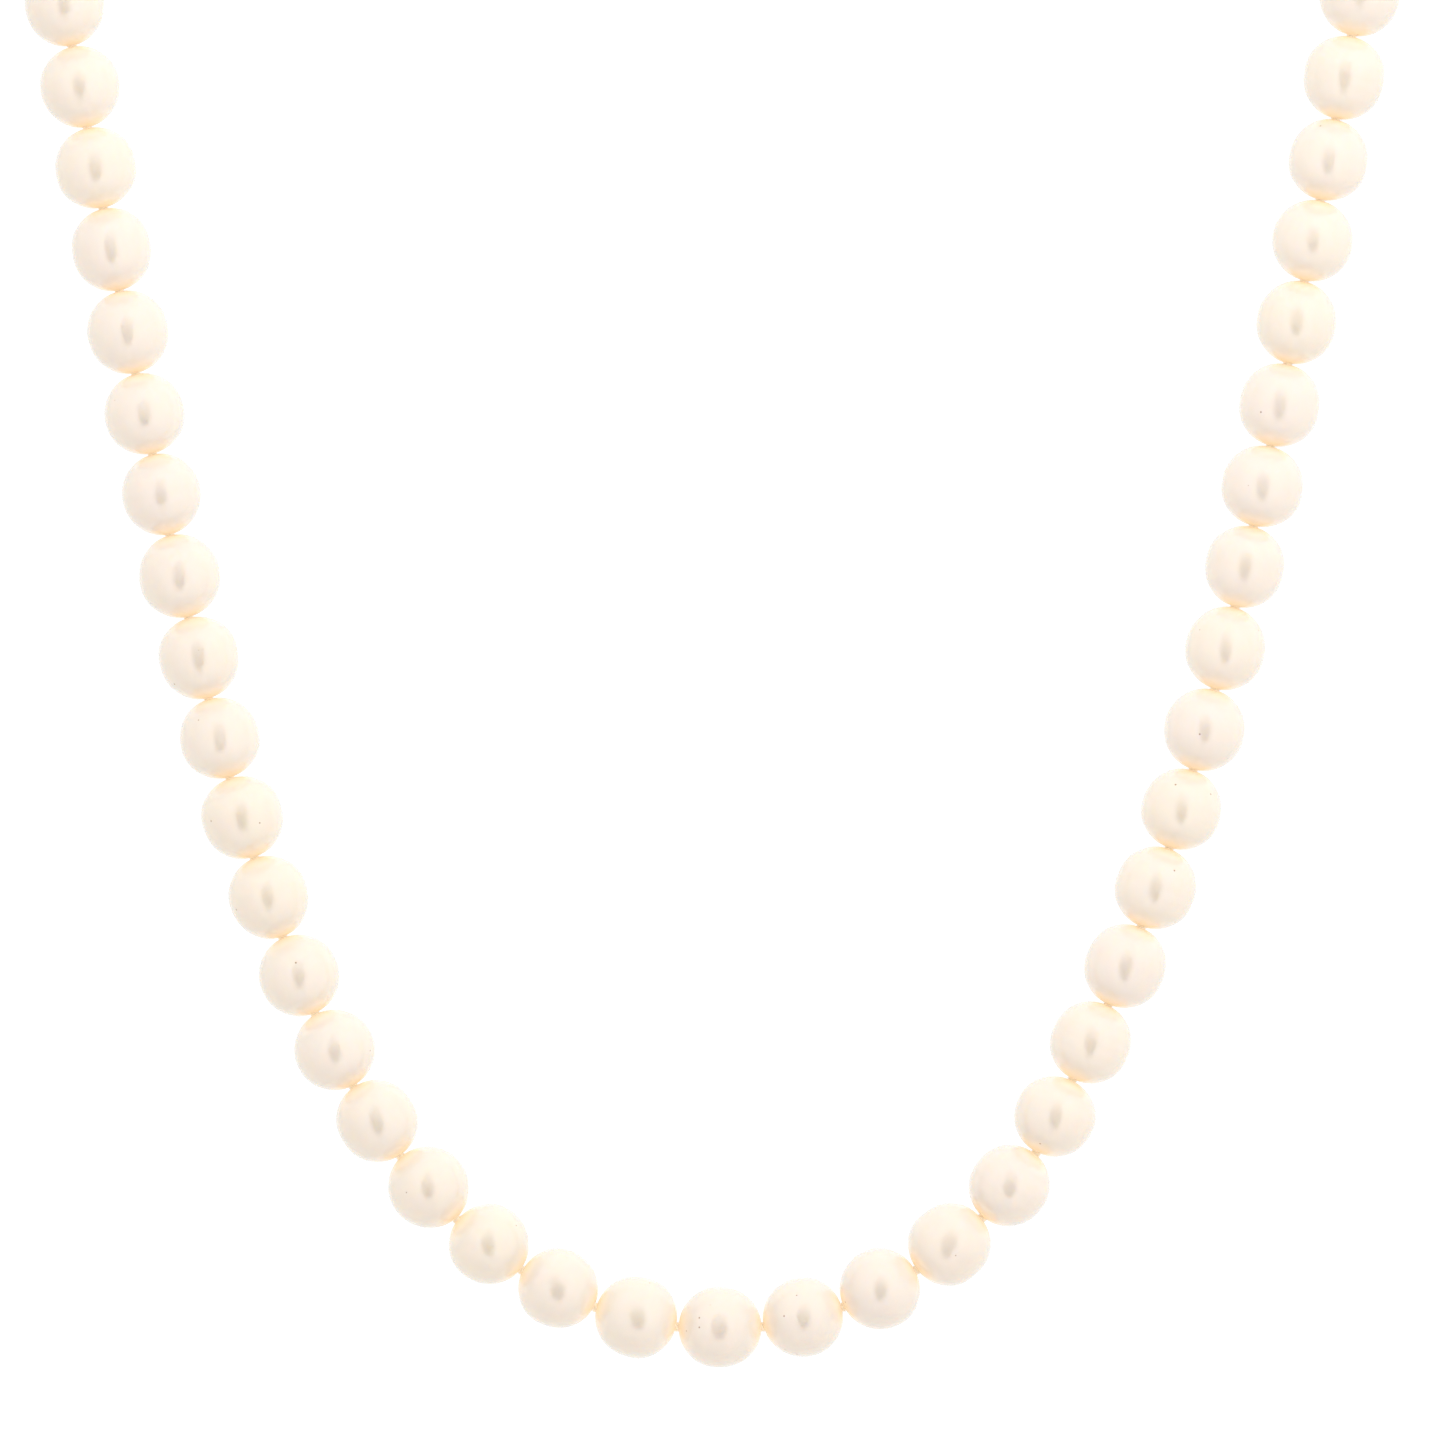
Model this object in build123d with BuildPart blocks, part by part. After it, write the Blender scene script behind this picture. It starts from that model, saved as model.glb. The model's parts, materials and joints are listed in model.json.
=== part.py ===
"""A knotted pearl necklace, laid out flat with its clasp undone.

Fifty-seven cultured pearls are strung on one silk thread, with a knot between every two.
Each end of the thread doubles back through a loop of bullion wire, and each loop holds a jump
ring. The left ring carries a lobster clasp. The right ring carries the tab that it closes on.

Frame: millimetres, +Z up. The necklace lies on z = 0, centred over the origin. The front pearl
is at the -Y end, and the two clasp ends are at the +Y end.

Every knot is a ball on the thread and the pivot of the link beyond it. The pearls have round
pockets about the knot, and the next length of thread starts with a hollow that clears it.
"""

from build123d import *
import os
from math import asin, cos, degrees, exp, radians, sin, sqrt, tanh

os.makedirs("parts", exist_ok=True)

# ---- the strand ------------------------------------------------------------------------------
PEARLS_A_SIDE = 28  # pearls on each side of the front pearl
PITCH = 7.60  # mean distance from knot to knot
PITCH_SPREAD = 0.13
FRONT_PITCH = 7.80  # the front pearl is the longest
KNOT_HEIGHT = 3.70  # mean height of the thread over the table, and the mean pearl radius
HEIGHT_SPREAD = 0.11
PEARL_GAP = 0.34  # bare thread between two pearls
VARIETY = {"left": 0.4, "right": 1.9}  # so that the two sides don't match pearl for pearl
PITCH_WAVE = 1.7  # each size wanders along the strand as a sine of this many radians a pearl
HEIGHT_WAVE = 2.3
BARREL_WAVE = 3.1
EGG_WAVE = 4.3

# ---- one link: a pearl with its own length of thread -----------------------------------------
DRILL_RADIUS = 0.40
THREAD_RADIUS = 0.36
KNOT_RADIUS = 0.50
HOLLOW_RADIUS = 0.54  # the hollow at the start of a thread, about the knot before it
POCKET_RADIUS = 0.60  # the pocket in a pearl about a knot
BARREL = 2.15  # outline exponent: 2 is an ellipse, and more is a barrel
BARREL_SPREAD = 0.20
EGG = 0.025  # how much fatter one end of a pearl is than its middle
OUTLINE_STEPS = 12

# ---- the laid curve: a steep-sided U whose ends turn in --------------------------------------
SIDE_ANGLE = 79.5  # the heading that the sides settle to
BEND_PEARLS = 5.7  # how many pearls the front curve takes
KINK_ANGLE = 7.5  # one knot on the right lies bent more than its neighbours
KINK_PEARL = 5
KINK_WIDTH = 0.9
REAR_START = 19  # beyond this pearl the sides turn in
REAR_TURN = 42.0

# ---- pearls that move two by two, far from both the front and the clasp ----------------------
PAIR_STARTS = (20, 22, 24)

# ---- bullion, jump rings, clasp and tab ------------------------------------------------------
BULLION_RADIUS = 0.42  # of the coil that covers the thread
BULLION_LOOP = 1.30  # radius of the loop's centre line
BULLION_REACH = 2.05  # from the end knot to the loop's centre
RING_WIRE = 0.40
RING_LOOP = 1.90
RING_HANG = 1.00  # from the ring's centre to the bullion that it hangs on
RING_HANG_ANGLE = 55.0
EYE_RADIUS = 0.85  # the eye of the clasp, and that of the tab
EYE_RIM = 1.60
EYE_DROP = 0.50  # how far an eye sits below the ring's centre
CLASP_THICK = 2.40
CLASP_EYE_THICK = 1.00
CLAW_CENTRE = 6.30  # from the eye to the middle of the claw
CLAW_LENGTH = 3.30  # half the claw's outside length
CLAW_WIDTH = 2.85
MOUTH_CENTRE = 6.50
MOUTH_LENGTH = 1.95
MOUTH_WIDTH = 1.60
NECK_START = 1.35  # the full thickness runs from here, between the eye and the claw
NECK_WIDTH = 1.15  # half the neck's width there
SHOULDER = (4.90, 2.58)  # where the neck's sides run into the claw, without a step
EYE_BRIDGE = 2.00  # length of the tongue that roots the eye in the neck
CLASP_ROUNDING = 0.50
PIVOT_SPOT = (3.30, -0.75)  # the lever's pin, seen from the eye
PIN_RADIUS = 0.35
PIN_LENGTH = 2.30
PIN_CLEARANCE = 0.05  # in the lever
PIN_FIT = 0.01  # in the cheeks
LEVER_THICK = 1.10
LEVER_HUB = 0.95
LEVER_REACH = 4.75  # from the pin to the lever's tip
LEVER_START = 3.40  # the arm leaves the hub here
LEVER_EDGE = -0.45
LEVER_RIDGE = 0.75  # radius of the thumb ridge
RIDGE_SPOT = (4.75, -2.55)
LEVER_CLEARANCE = 0.08
LEVER_INSET = 0.05  # how far the arm stays inside the claw's outline
GATE_START = 3.00  # the gap in the claw runs from here outward
GATE_EDGE = -0.35  # and from this side line outward
SLOT_RADIUS = 1.90  # the slot between the clasp's cheeks, on the arm's side of the pin
HUB_ROOM = 1.10  # and its radius on the eye's side
SLOT_HEIGHT = 1.24
CHEEK_RADIUS = 1.72
SPRING_INNER = 0.46
SPRING_OUTER = 0.76
SPRING_ROOM = 0.86  # radius of the recess in the lever
SPRING_START = 0.06
SPRING_HEIGHT = 0.42
TAB_THICK = 0.80
TAB_HOLE = 1.80  # the hole that the clasp closes on
TAB_RIM = 2.90
TAB_REACH = 4.30  # from the tab's eye to that hole

ring_height = RING_LOOP + RING_WIRE
ring_hang_height = ring_height + RING_HANG * sin(radians(RING_HANG_ANGLE))
eye_height = ring_height - EYE_DROP
clasp_tip = CLAW_CENTRE + CLAW_LENGTH


def heading(side, number):
    """The direction of a pearl's thread, in degrees, turned up from the front's tangent."""
    angle = SIDE_ANGLE * tanh(number / BEND_PEARLS)
    if side == "right":
        angle += KINK_ANGLE * exp(-(((number - KINK_PEARL) / KINK_WIDTH) ** 2))
    share = max(0, number - REAR_START) / (PEARLS_A_SIDE - REAR_START)
    return angle + REAR_TURN * share


def knot_height(side, number):
    return KNOT_HEIGHT + HEIGHT_SPREAD * sin(HEIGHT_WAVE * number + 2 * VARIETY[side])


def flat_direction(side, number):
    turn = radians(heading(side, number))
    sign = 1 if side == "right" else -1
    return Vector(sign * cos(turn), sin(turn), 0)


def knots_of(side, start):
    """The knots of one side, from the front pearl's own to the one at the thread's end."""
    spot = start + flat_direction(side, 0) * (FRONT_PITCH / 2)
    knots = [Vector(spot.X, spot.Y, knot_height(side, 0))]
    for number in range(1, PEARLS_A_SIDE + 1):
        step = PITCH + PITCH_SPREAD * sin(PITCH_WAVE * number + VARIETY[side])
        spot = spot + flat_direction(side, number) * step
        knots.append(Vector(spot.X, spot.Y, knot_height(side, number)))
    return knots


def ending(side, knot):
    """Where the hardware beyond an end knot lies: its direction, slope and three centres."""
    out = flat_direction(side, PEARLS_A_SIDE)
    reach = BULLION_REACH + BULLION_LOOP
    slope = asin((knot.Z - ring_hang_height) / reach)
    hang = knot + out * (reach * cos(slope))
    hang = Vector(hang.X, hang.Y, ring_hang_height)
    ring = hang + out * (RING_HANG * cos(radians(RING_HANG_ANGLE)))
    ring = Vector(ring.X, ring.Y, ring_height)
    eye = ring + out * sqrt(RING_LOOP**2 - EYE_DROP**2)
    eye = Vector(eye.X, eye.Y, eye_height)
    return {"out": out, "slope": slope, "hang": hang, "ring": ring, "eye": eye}


def laid_out(start):
    """Both sides' knots and endings, for a front pearl centred at start."""
    knots = {side: knots_of(side, start) for side in ("left", "right")}
    ends = {side: ending(side, knots[side][-1]) for side in ("left", "right")}
    return knots, ends


# The curve is laid out once from the front pearl, then again with its box centred on the origin.
knots, ends = laid_out(Vector(0, 0, 0))
low_x = min(knot.X for knot in knots["left"]) - KNOT_HEIGHT
high_x = max(knot.X for knot in knots["right"]) + KNOT_HEIGHT
high_y = ends["left"]["eye"].Y + clasp_tip * ends["left"]["out"].Y
knots, ends = laid_out(Vector(-(low_x + high_x) / 2, -(high_y - KNOT_HEIGHT) / 2, 0))


def links_of(side):
    """Each pearl of a side as (number, inner knot, outer knot)."""
    spots = knots[side]
    return [(n, spots[n - 1], spots[n]) for n in range(1, PEARLS_A_SIDE + 1)]


def link_plane(inner, outer):
    """A plane along the thread: x runs from the inner knot to the outer, and y points up."""
    along = (outer - inner).normalized()
    return Plane(origin=inner, x_dir=along, z_dir=along.cross(Vector(0, 0, 1)))


def make_pearl(side, number, inner, outer):
    """A pearl turned about its thread, drilled through, with a pocket about each knot."""
    length = (outer - inner).length
    half = (length - PEARL_GAP) / 2
    radius = (inner.Z + outer.Z) / 2
    barrel = BARREL + BARREL_SPREAD * sin(BARREL_WAVE * number + VARIETY[side])
    egg = EGG * sin(EGG_WAVE * number + VARIETY[side])
    outline = []
    for step in range(OUTLINE_STEPS + 1):
        along = -cos(radians(180 * step / OUTLINE_STEPS))
        out = radius * sqrt(max(0, 1 - abs(along) ** barrel)) * (1 + egg * along * (1 - along**2))
        outline.append((length / 2 + half * along, out))
    plane = link_plane(inner, outer)
    with BuildPart() as turned:
        with BuildSketch(plane):
            with BuildLine():
                Spline(*outline, tangents=((0, 1), (0, -1)))
                Line(outline[-1], outline[0])
            make_face()
            with Locations((length / 2, 0)):
                Rectangle(length, 2 * DRILL_RADIUS, mode=Mode.SUBTRACT)
            with Locations((0, 0), (length, 0)):
                Circle(POCKET_RADIUS, mode=Mode.SUBTRACT)
        revolve(axis=Axis(plane.origin, plane.x_dir))
    return turned.part


def on_arc(middle, radius, angle):
    """A point of an arc about a knot that lies on the thread's line."""
    return (middle + radius * cos(radians(angle)), radius * sin(radians(angle)))


def make_thread(inner, outer, knot_at_both_ends=False):
    """The thread through one pearl, from the hollow at its inner knot to its own outer knot."""
    length = (outer - inner).length
    plane = link_plane(inner, outer)
    ball = degrees(asin(THREAD_RADIUS / KNOT_RADIUS))
    hollow = degrees(asin(THREAD_RADIUS / HOLLOW_RADIUS))
    if knot_at_both_ends:
        start_angles = (180, (180 + ball) / 2, ball)
        start_radius = KNOT_RADIUS
    else:
        start_angles = (0, hollow / 2, hollow)
        start_radius = HOLLOW_RADIUS
    starting = [on_arc(0, start_radius, angle) for angle in start_angles]
    ending_angles = (180 - ball, (180 - ball) / 2, 0)
    closing = [on_arc(length, KNOT_RADIUS, angle) for angle in ending_angles]
    with BuildPart() as turned:
        with BuildSketch(plane):
            with BuildLine():
                ThreePointArc(*starting)
                Line(starting[-1], closing[0])
                ThreePointArc(*closing)
                Line(closing[-1], starting[0])
            make_face()
        revolve(axis=Axis(plane.origin, plane.x_dir))
    return turned.part


# ---- the front pearl, which is the root of both sides ----------------------------------------
front_knots = (knots["left"][0], knots["right"][0])
front_pieces = [
    make_pearl("left", 0, *front_knots),
    make_thread(*front_knots, knot_at_both_ends=True),
]
with BuildPart() as pearl_front:
    add(front_pieces)
pearl_front.part.label = "pearl_front"
export_step(pearl_front.part, "parts/pearl_front.step")

# ---- the other pearls, one node each, or two in a pair ---------------------------------------
paired_seconds = [first + 1 for first in PAIR_STARTS]
for side in ("left", "right"):
    links = links_of(side)
    for number, inner, outer in links:
        if number in paired_seconds:
            continue
        held = [links[number - 1]]
        name = f"pearl_{side}_{number:02d}"
        if number in PAIR_STARTS:
            held.append(links[number])
            name = f"pearls_{side}_{number:02d}_{number + 1:02d}"
        pieces = [make_pearl(side, count, near, far) for count, near, far in held]
        pieces += [make_thread(near, far) for count, near, far in held]
        with BuildPart() as link:
            add(pieces)
        link.part.label = name
        export_step(link.part, f"parts/{name}.step")


# ---- bullion loops: coiled wire over the doubled thread, seated on the end knot --------------
def bullion_plane(side):
    """x runs out along the sloping loop, and z stands square to the loop."""
    end = ends[side]
    across = Vector(0, 0, 1).cross(end["out"])
    along = end["out"] * cos(end["slope"]) - Vector(0, 0, 1) * sin(end["slope"])
    return Plane(origin=knots[side][-1], x_dir=along, z_dir=along.cross(across))


for side, name in (("left", "left_bullion"), ("right", "right_bullion")):
    loop = bullion_plane(side)
    upright = Plane(origin=loop.origin, x_dir=loop.x_dir, z_dir=-loop.y_dir)
    turning = Axis(loop.from_local_coords(Vector(BULLION_REACH, 0, 0)), loop.z_dir)
    with BuildPart() as bullion:
        with BuildSketch(upright):
            with Locations((BULLION_REACH + BULLION_LOOP, 0)):
                Circle(BULLION_RADIUS)
        revolve(axis=turning)
        with Locations(loop.origin):
            Sphere(HOLLOW_RADIUS, mode=Mode.SUBTRACT)
    bullion.part.label = name
    export_step(bullion.part, f"parts/{name}.step")

# ---- jump rings: each stands on edge and hangs on its bullion loop ---------------------------
for side, name in (("left", "clasp_ring"), ("right", "tab_ring")):
    end = ends[side]
    square = Vector(0, 0, 1).cross(end["out"])
    with BuildPart() as ring:
        with BuildSketch(Plane(origin=end["ring"], x_dir=end["out"], z_dir=Vector(0, 0, 1))):
            with Locations((RING_LOOP, 0)):
                Circle(RING_WIRE)
        revolve(axis=Axis(end["ring"], square))
    ring.part.label = name
    export_step(ring.part, f"parts/{name}.step")


def lying_plane(side, thick, reach):
    """The mid-plane of a flat piece that hangs by its eye and rests on the table at its tip."""
    end = ends[side]
    tilt = asin((eye_height - thick / 2) / reach)
    along = end["out"] * cos(tilt) - Vector(0, 0, 1) * sin(tilt)
    across = Vector(0, 0, 1).cross(end["out"])
    return Plane(origin=end["eye"], x_dir=along, z_dir=along.cross(across))


# ---- lobster clasp body: an eye, two cheeks that hold the lever's pin, and a claw ------------
clasp_plane = lying_plane("left", CLASP_THICK, clasp_tip)
clasp_up = Axis(clasp_plane.origin, clasp_plane.z_dir)
with BuildPart() as clasp_body:
    with BuildSketch(clasp_plane):
        with BuildLine():
            Polyline(
                (NECK_START, NECK_WIDTH),
                SHOULDER,
                (SHOULDER[0], -SHOULDER[1]),
                (NECK_START, -NECK_WIDTH),
                close=True,
            )
        make_face()
        with Locations((CLAW_CENTRE, 0)):
            Ellipse(CLAW_LENGTH, CLAW_WIDTH)
    extrude(amount=CLASP_THICK / 2, both=True)
    fillet(clasp_body.edges().group_by(clasp_up)[-1], CLASP_ROUNDING)
    fillet(clasp_body.edges().group_by(clasp_up)[0], CLASP_ROUNDING)
    with BuildSketch(clasp_plane):
        with Locations((MOUTH_CENTRE, 0)):
            Ellipse(MOUTH_LENGTH, MOUTH_WIDTH)
    extrude(amount=CLASP_THICK, both=True, mode=Mode.SUBTRACT)
    with BuildSketch(clasp_plane):
        Circle(EYE_RIM)
        with Locations((EYE_RIM, 0)):
            Rectangle(EYE_BRIDGE, 2 * NECK_WIDTH)
        Circle(EYE_RADIUS, mode=Mode.SUBTRACT)
    extrude(amount=CLASP_EYE_THICK / 2, both=True)
    # the gap in the claw that the lever closes
    with BuildSketch(clasp_plane):
        with Locations(PIVOT_SPOT):
            Circle(LEVER_REACH + LEVER_CLEARANCE)
            Circle(CHEEK_RADIUS, mode=Mode.SUBTRACT)
        with Locations((GATE_START, GATE_EDGE)):
            Rectangle(clasp_tip, clasp_tip, align=(Align.MIN, Align.MAX), mode=Mode.INTERSECT)
    extrude(amount=CLASP_THICK, both=True, mode=Mode.SUBTRACT)
    # the slot between the cheeks: close about the hub, and wide where the arm swings
    with BuildSketch(clasp_plane):
        with Locations(PIVOT_SPOT):
            Circle(SLOT_RADIUS)
            Rectangle(
                SLOT_RADIUS, 2 * SLOT_RADIUS, align=(Align.MAX, Align.CENTER), mode=Mode.SUBTRACT
            )
            Circle(HUB_ROOM)
    extrude(amount=SLOT_HEIGHT / 2, both=True, mode=Mode.SUBTRACT)
    with BuildSketch(clasp_plane):
        with Locations(PIVOT_SPOT):
            Circle(PIN_RADIUS + PIN_FIT)
    extrude(amount=CLASP_THICK, both=True, mode=Mode.SUBTRACT)
clasp_body.part.label = "clasp_body"
export_step(clasp_body.part, "parts/clasp_body.step")

# ---- lever: hub, gate arm and thumb ridge, with a recess for the spring ----------------------
with BuildPart() as clasp_lever:
    with BuildSketch(clasp_plane):
        with Locations((CLAW_CENTRE, 0)):
            Ellipse(CLAW_LENGTH - LEVER_INSET, CLAW_WIDTH - LEVER_INSET)
        with Locations((MOUTH_CENTRE, 0)):
            Ellipse(MOUTH_LENGTH, MOUTH_WIDTH, mode=Mode.SUBTRACT)
        with Locations(RIDGE_SPOT):
            Circle(LEVER_RIDGE)
        with Locations(PIVOT_SPOT):
            Circle(LEVER_REACH, mode=Mode.INTERSECT)
        with Locations((LEVER_START, LEVER_EDGE)):
            Rectangle(clasp_tip, clasp_tip, align=(Align.MIN, Align.MAX), mode=Mode.INTERSECT)
        with Locations(PIVOT_SPOT):
            Circle(LEVER_HUB)
    extrude(amount=LEVER_THICK / 2, both=True)
    with BuildSketch(clasp_plane):
        with Locations(PIVOT_SPOT):
            Circle(PIN_RADIUS + PIN_CLEARANCE)
    extrude(amount=LEVER_THICK, both=True, mode=Mode.SUBTRACT)
    with BuildSketch(clasp_plane):
        with Locations(PIVOT_SPOT):
            Circle(SPRING_ROOM)
    extrude(amount=LEVER_THICK, mode=Mode.SUBTRACT)
clasp_lever.part.label = "clasp_lever"
export_step(clasp_lever.part, "parts/clasp_lever.step")

# ---- pin through both cheeks -----------------------------------------------------------------
with BuildPart() as lever_pin:
    with BuildSketch(clasp_plane):
        with Locations(PIVOT_SPOT):
            Circle(PIN_RADIUS)
    extrude(amount=PIN_LENGTH / 2, both=True)
lever_pin.part.label = "lever_pin"
export_step(lever_pin.part, "parts/lever_pin.step")

# ---- torsion spring, as the closed sleeve that its turns fill --------------------------------
with BuildPart() as lever_spring:
    with BuildSketch(clasp_plane.offset(SPRING_START)):
        with Locations(PIVOT_SPOT):
            Circle(SPRING_OUTER)
            Circle(SPRING_INNER, mode=Mode.SUBTRACT)
    extrude(amount=SPRING_HEIGHT)
lever_spring.part.label = "lever_spring"
export_step(lever_spring.part, "parts/lever_spring.step")

# ---- tab: a flat plate with an eye and the hole that the clasp closes on ---------------------
tab_plane = lying_plane("right", TAB_THICK, TAB_REACH + TAB_RIM)
with BuildPart() as clasp_tab:
    with BuildSketch(tab_plane):
        Circle(EYE_RIM)
        with Locations((TAB_REACH, 0)):
            Circle(TAB_RIM)
        make_hull()
        Circle(EYE_RADIUS, mode=Mode.SUBTRACT)
        with Locations((TAB_REACH, 0)):
            Circle(TAB_HOLE, mode=Mode.SUBTRACT)
    extrude(amount=TAB_THICK / 2, both=True)
clasp_tab.part.label = "clasp_tab"
export_step(clasp_tab.part, "parts/clasp_tab.step")
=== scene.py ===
# %% [markdown]
# # A knotted pearl necklace, laid out flat
#
# Fifty-seven cultured pearls on a silk thread, with a knot between every two, loops of coiled gold
# wire at the thread's ends, two jump rings, and a sprung clasp with the tab that it closes on.
#
# The working model comes first. It is a plain engineering model with the right sizes, and it holds
# the joints: every knot is a hinge. This lesson loads it and dresses it. Every piece that is made
# here rides on one of its bodies, so the necklace still bends when it is posed.

import json
import random
from math import cos, pi, radians, sin

import bmesh
import bpy
import numpy as np
from mathutils import Matrix, Vector

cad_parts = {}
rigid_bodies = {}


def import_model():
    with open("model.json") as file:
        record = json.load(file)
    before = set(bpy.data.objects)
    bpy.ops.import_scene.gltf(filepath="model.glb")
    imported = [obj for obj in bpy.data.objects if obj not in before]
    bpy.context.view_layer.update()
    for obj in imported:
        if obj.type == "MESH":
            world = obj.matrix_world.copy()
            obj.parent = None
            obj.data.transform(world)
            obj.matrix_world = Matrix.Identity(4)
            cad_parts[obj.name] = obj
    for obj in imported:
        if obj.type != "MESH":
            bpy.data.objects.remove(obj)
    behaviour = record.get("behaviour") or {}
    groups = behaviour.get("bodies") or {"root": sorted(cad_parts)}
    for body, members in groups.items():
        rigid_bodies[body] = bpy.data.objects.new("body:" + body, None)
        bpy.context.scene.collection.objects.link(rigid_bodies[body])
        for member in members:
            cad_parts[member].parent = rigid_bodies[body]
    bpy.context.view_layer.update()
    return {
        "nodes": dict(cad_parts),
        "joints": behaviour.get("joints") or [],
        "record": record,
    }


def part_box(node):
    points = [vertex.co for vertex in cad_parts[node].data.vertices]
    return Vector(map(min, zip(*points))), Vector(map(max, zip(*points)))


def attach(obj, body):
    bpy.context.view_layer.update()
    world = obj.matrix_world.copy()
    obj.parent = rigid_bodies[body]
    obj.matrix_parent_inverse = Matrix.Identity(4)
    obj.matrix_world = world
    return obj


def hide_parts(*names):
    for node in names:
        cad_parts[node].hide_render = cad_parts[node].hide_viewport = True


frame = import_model()
MM = 0.001
UP = Vector((0, 0, 1))

# %% [markdown]
# ## Where every knot is
#
# A strand is a row of knots, and each pearl fills the space between two of them. The hinges are the
# knots, so their places give the whole layout and nothing has to be measured by hand. Some pearls
# at the back of the neck move two by two. The knot inside such a pair isn't a hinge, but each pearl
# is centred between its own two knots, so the first pearl's middle tells where the hidden knot is.

# %% Read the knots from the hinges
hinges = {joint["name"]: joint for joint in frame["joints"]}


def place(joint_name):
    return Vector(hinges[joint_name]["pos_m"])


def middle_knot(node, inner, outer):
    """The knot hidden in a pair, from the middle of its first pearl."""
    points = np.array([v.co for v in frame["nodes"][node].data.vertices])
    chord = np.array(outer - inner)
    share = (points - np.array(inner)) @ chord / (chord @ chord)
    off_thread = np.linalg.norm(points - np.array(inner) - np.outer(share, chord), axis=1)
    first = points[(share < 0.5) & (off_thread > 1.5 * MM)]
    centre = Vector((first.min(0) + first.max(0)) / 2)
    return centre * 2 - inner


def links_of(side):
    """Each body of one side as (body, [its knots from the inner one to the outer one])."""
    own = [j for name, j in hinges.items() if name.startswith(f"knot_{side}_")]
    own.sort(key=lambda joint: joint["name"])
    starts = [Vector(joint["pos_m"]) for joint in own]
    starts.append(place(f"{side}_bullion_swing"))
    found = []
    for joint, inner, outer in zip(own, starts, starts[1:]):
        body = joint["child"]
        knots = [inner, outer]
        if body.startswith("pearls_"):
            knots.insert(1, middle_knot(body, inner, outer))
        found.append((body, knots))
    return found


strand = {side: links_of(side) for side in ("left", "right")}
front_knots = [strand["left"][0][1][0], strand["right"][0][1][0]]
links = [("front", front_knots)] + strand["left"] + strand["right"]
pearl_count = sum(len(knots) - 1 for body, knots in links)
print("links:", len(links), "pearls:", pearl_count)

# %% [markdown]
# ## Formulas as node trees
#
# Geometry Nodes are good at anything that repeats or follows a rule. A formula becomes a chain of
# Math nodes, which is slow to read when each is wired by hand. This small helper lets a wire be
# written as a number: `a * b + 1` adds a Multiply and an Add node and joins them.


# %% A wire that can be added and multiplied
class Wire:
    """A number on its way through a node tree."""

    def __init__(self, tree, socket):
        self.tree, self.socket = tree, socket

    def math(self, operation, *others):
        node = self.tree.nodes.new("ShaderNodeMath")
        node.operation = operation
        for slot, item in zip(node.inputs, (self, *others)):
            plug(self.tree, item, slot)
        return Wire(self.tree, node.outputs[0])

    def __add__(self, other):
        return self.math("ADD", other)

    def __sub__(self, other):
        return self.math("SUBTRACT", other)

    def __mul__(self, other):
        return self.math("MULTIPLY", other)

    def __truediv__(self, other):
        return self.math("DIVIDE", other)

    def __pow__(self, other):
        return self.math("POWER", other)


def plug(tree, item, slot):
    """Wires an item to a slot, or sets the slot to it if it is a plain value."""
    if isinstance(item, Wire):
        tree.links.new(item.socket, slot)
    else:
        slot.default_value = item


def node_of(tree, kind, inputs=None, **settings):
    """Adds one node, with its settings made and its inputs plugged in."""
    node = tree.nodes.new(kind)
    for name, value in settings.items():
        setattr(node, name, value)
    for name, item in (inputs or {}).items():
        plug(tree, item, node.inputs[name])
    return node


def out(tree, node, name=0):
    return Wire(tree, node.outputs[name])


def vector_of(tree, x, y, z):
    return out(tree, node_of(tree, "ShaderNodeCombineXYZ", {0: x, 1: y, 2: z}))


# %% [markdown]
# A tree gets its sizes from named inputs, so one tree serves every pearl and every coil. It always
# ends the same way: instances are made real, and the material is set. The finished shape is then
# taken off the modifier as a plain mesh and laid where it belongs.

# %% Start, end and run a tree
INPUT_KINDS = {float: "NodeSocketFloat", int: "NodeSocketInt"}


def start_tree(name, sizes):
    """A new tree, and a dictionary of its inputs as wires."""
    tree = bpy.data.node_groups.new(name, "GeometryNodeTree")
    for label, value in sizes.items():
        socket = tree.interface.new_socket(
            name=label, in_out="INPUT", socket_type=INPUT_KINDS[type(value)]
        )
        socket.default_value = value
    tree.interface.new_socket(name="Finish", in_out="INPUT", socket_type="NodeSocketMaterial")
    tree.interface.new_socket(name="Shape", in_out="OUTPUT", socket_type="NodeSocketGeometry")
    entry = tree.nodes.new("NodeGroupInput")
    return tree, {label: out(tree, entry, label) for label in [*sizes, "Finish"]}


def end_tree(tree, shape, finish):
    """Smooth shading, Realize Instances and Set Material, then the tree's output."""
    smooth = node_of(tree, "GeometryNodeSetShadeSmooth", {"Geometry": shape})
    real = node_of(tree, "GeometryNodeRealizeInstances", {"Geometry": out(tree, smooth)})
    done = node_of(
        tree, "GeometryNodeSetMaterial", {"Geometry": out(tree, real), "Material": finish}
    )
    plug(tree, out(tree, done), tree.nodes.new("NodeGroupOutput").inputs[0])


def run_tree(tree, finish, **sizes):
    """The plain mesh that a tree makes for these sizes."""
    holder = bpy.data.objects.new("holder", bpy.data.meshes.new("holder"))
    bpy.context.scene.collection.objects.link(holder)
    modifier = holder.modifiers.new("tree", "NODES")
    modifier.node_group = tree
    wanted = {name.replace("_", " "): value for name, value in sizes.items()}
    wanted["Finish"] = finish
    for item in tree.interface.items_tree:
        if item.in_out == "INPUT" and item.name in wanted:
            modifier[item.identifier] = wanted[item.name]
    seen = holder.evaluated_get(bpy.context.evaluated_depsgraph_get())
    mesh = bpy.data.meshes.new_from_object(seen)
    empty = holder.data
    bpy.data.objects.remove(holder)
    bpy.data.meshes.remove(empty)
    return mesh


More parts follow.
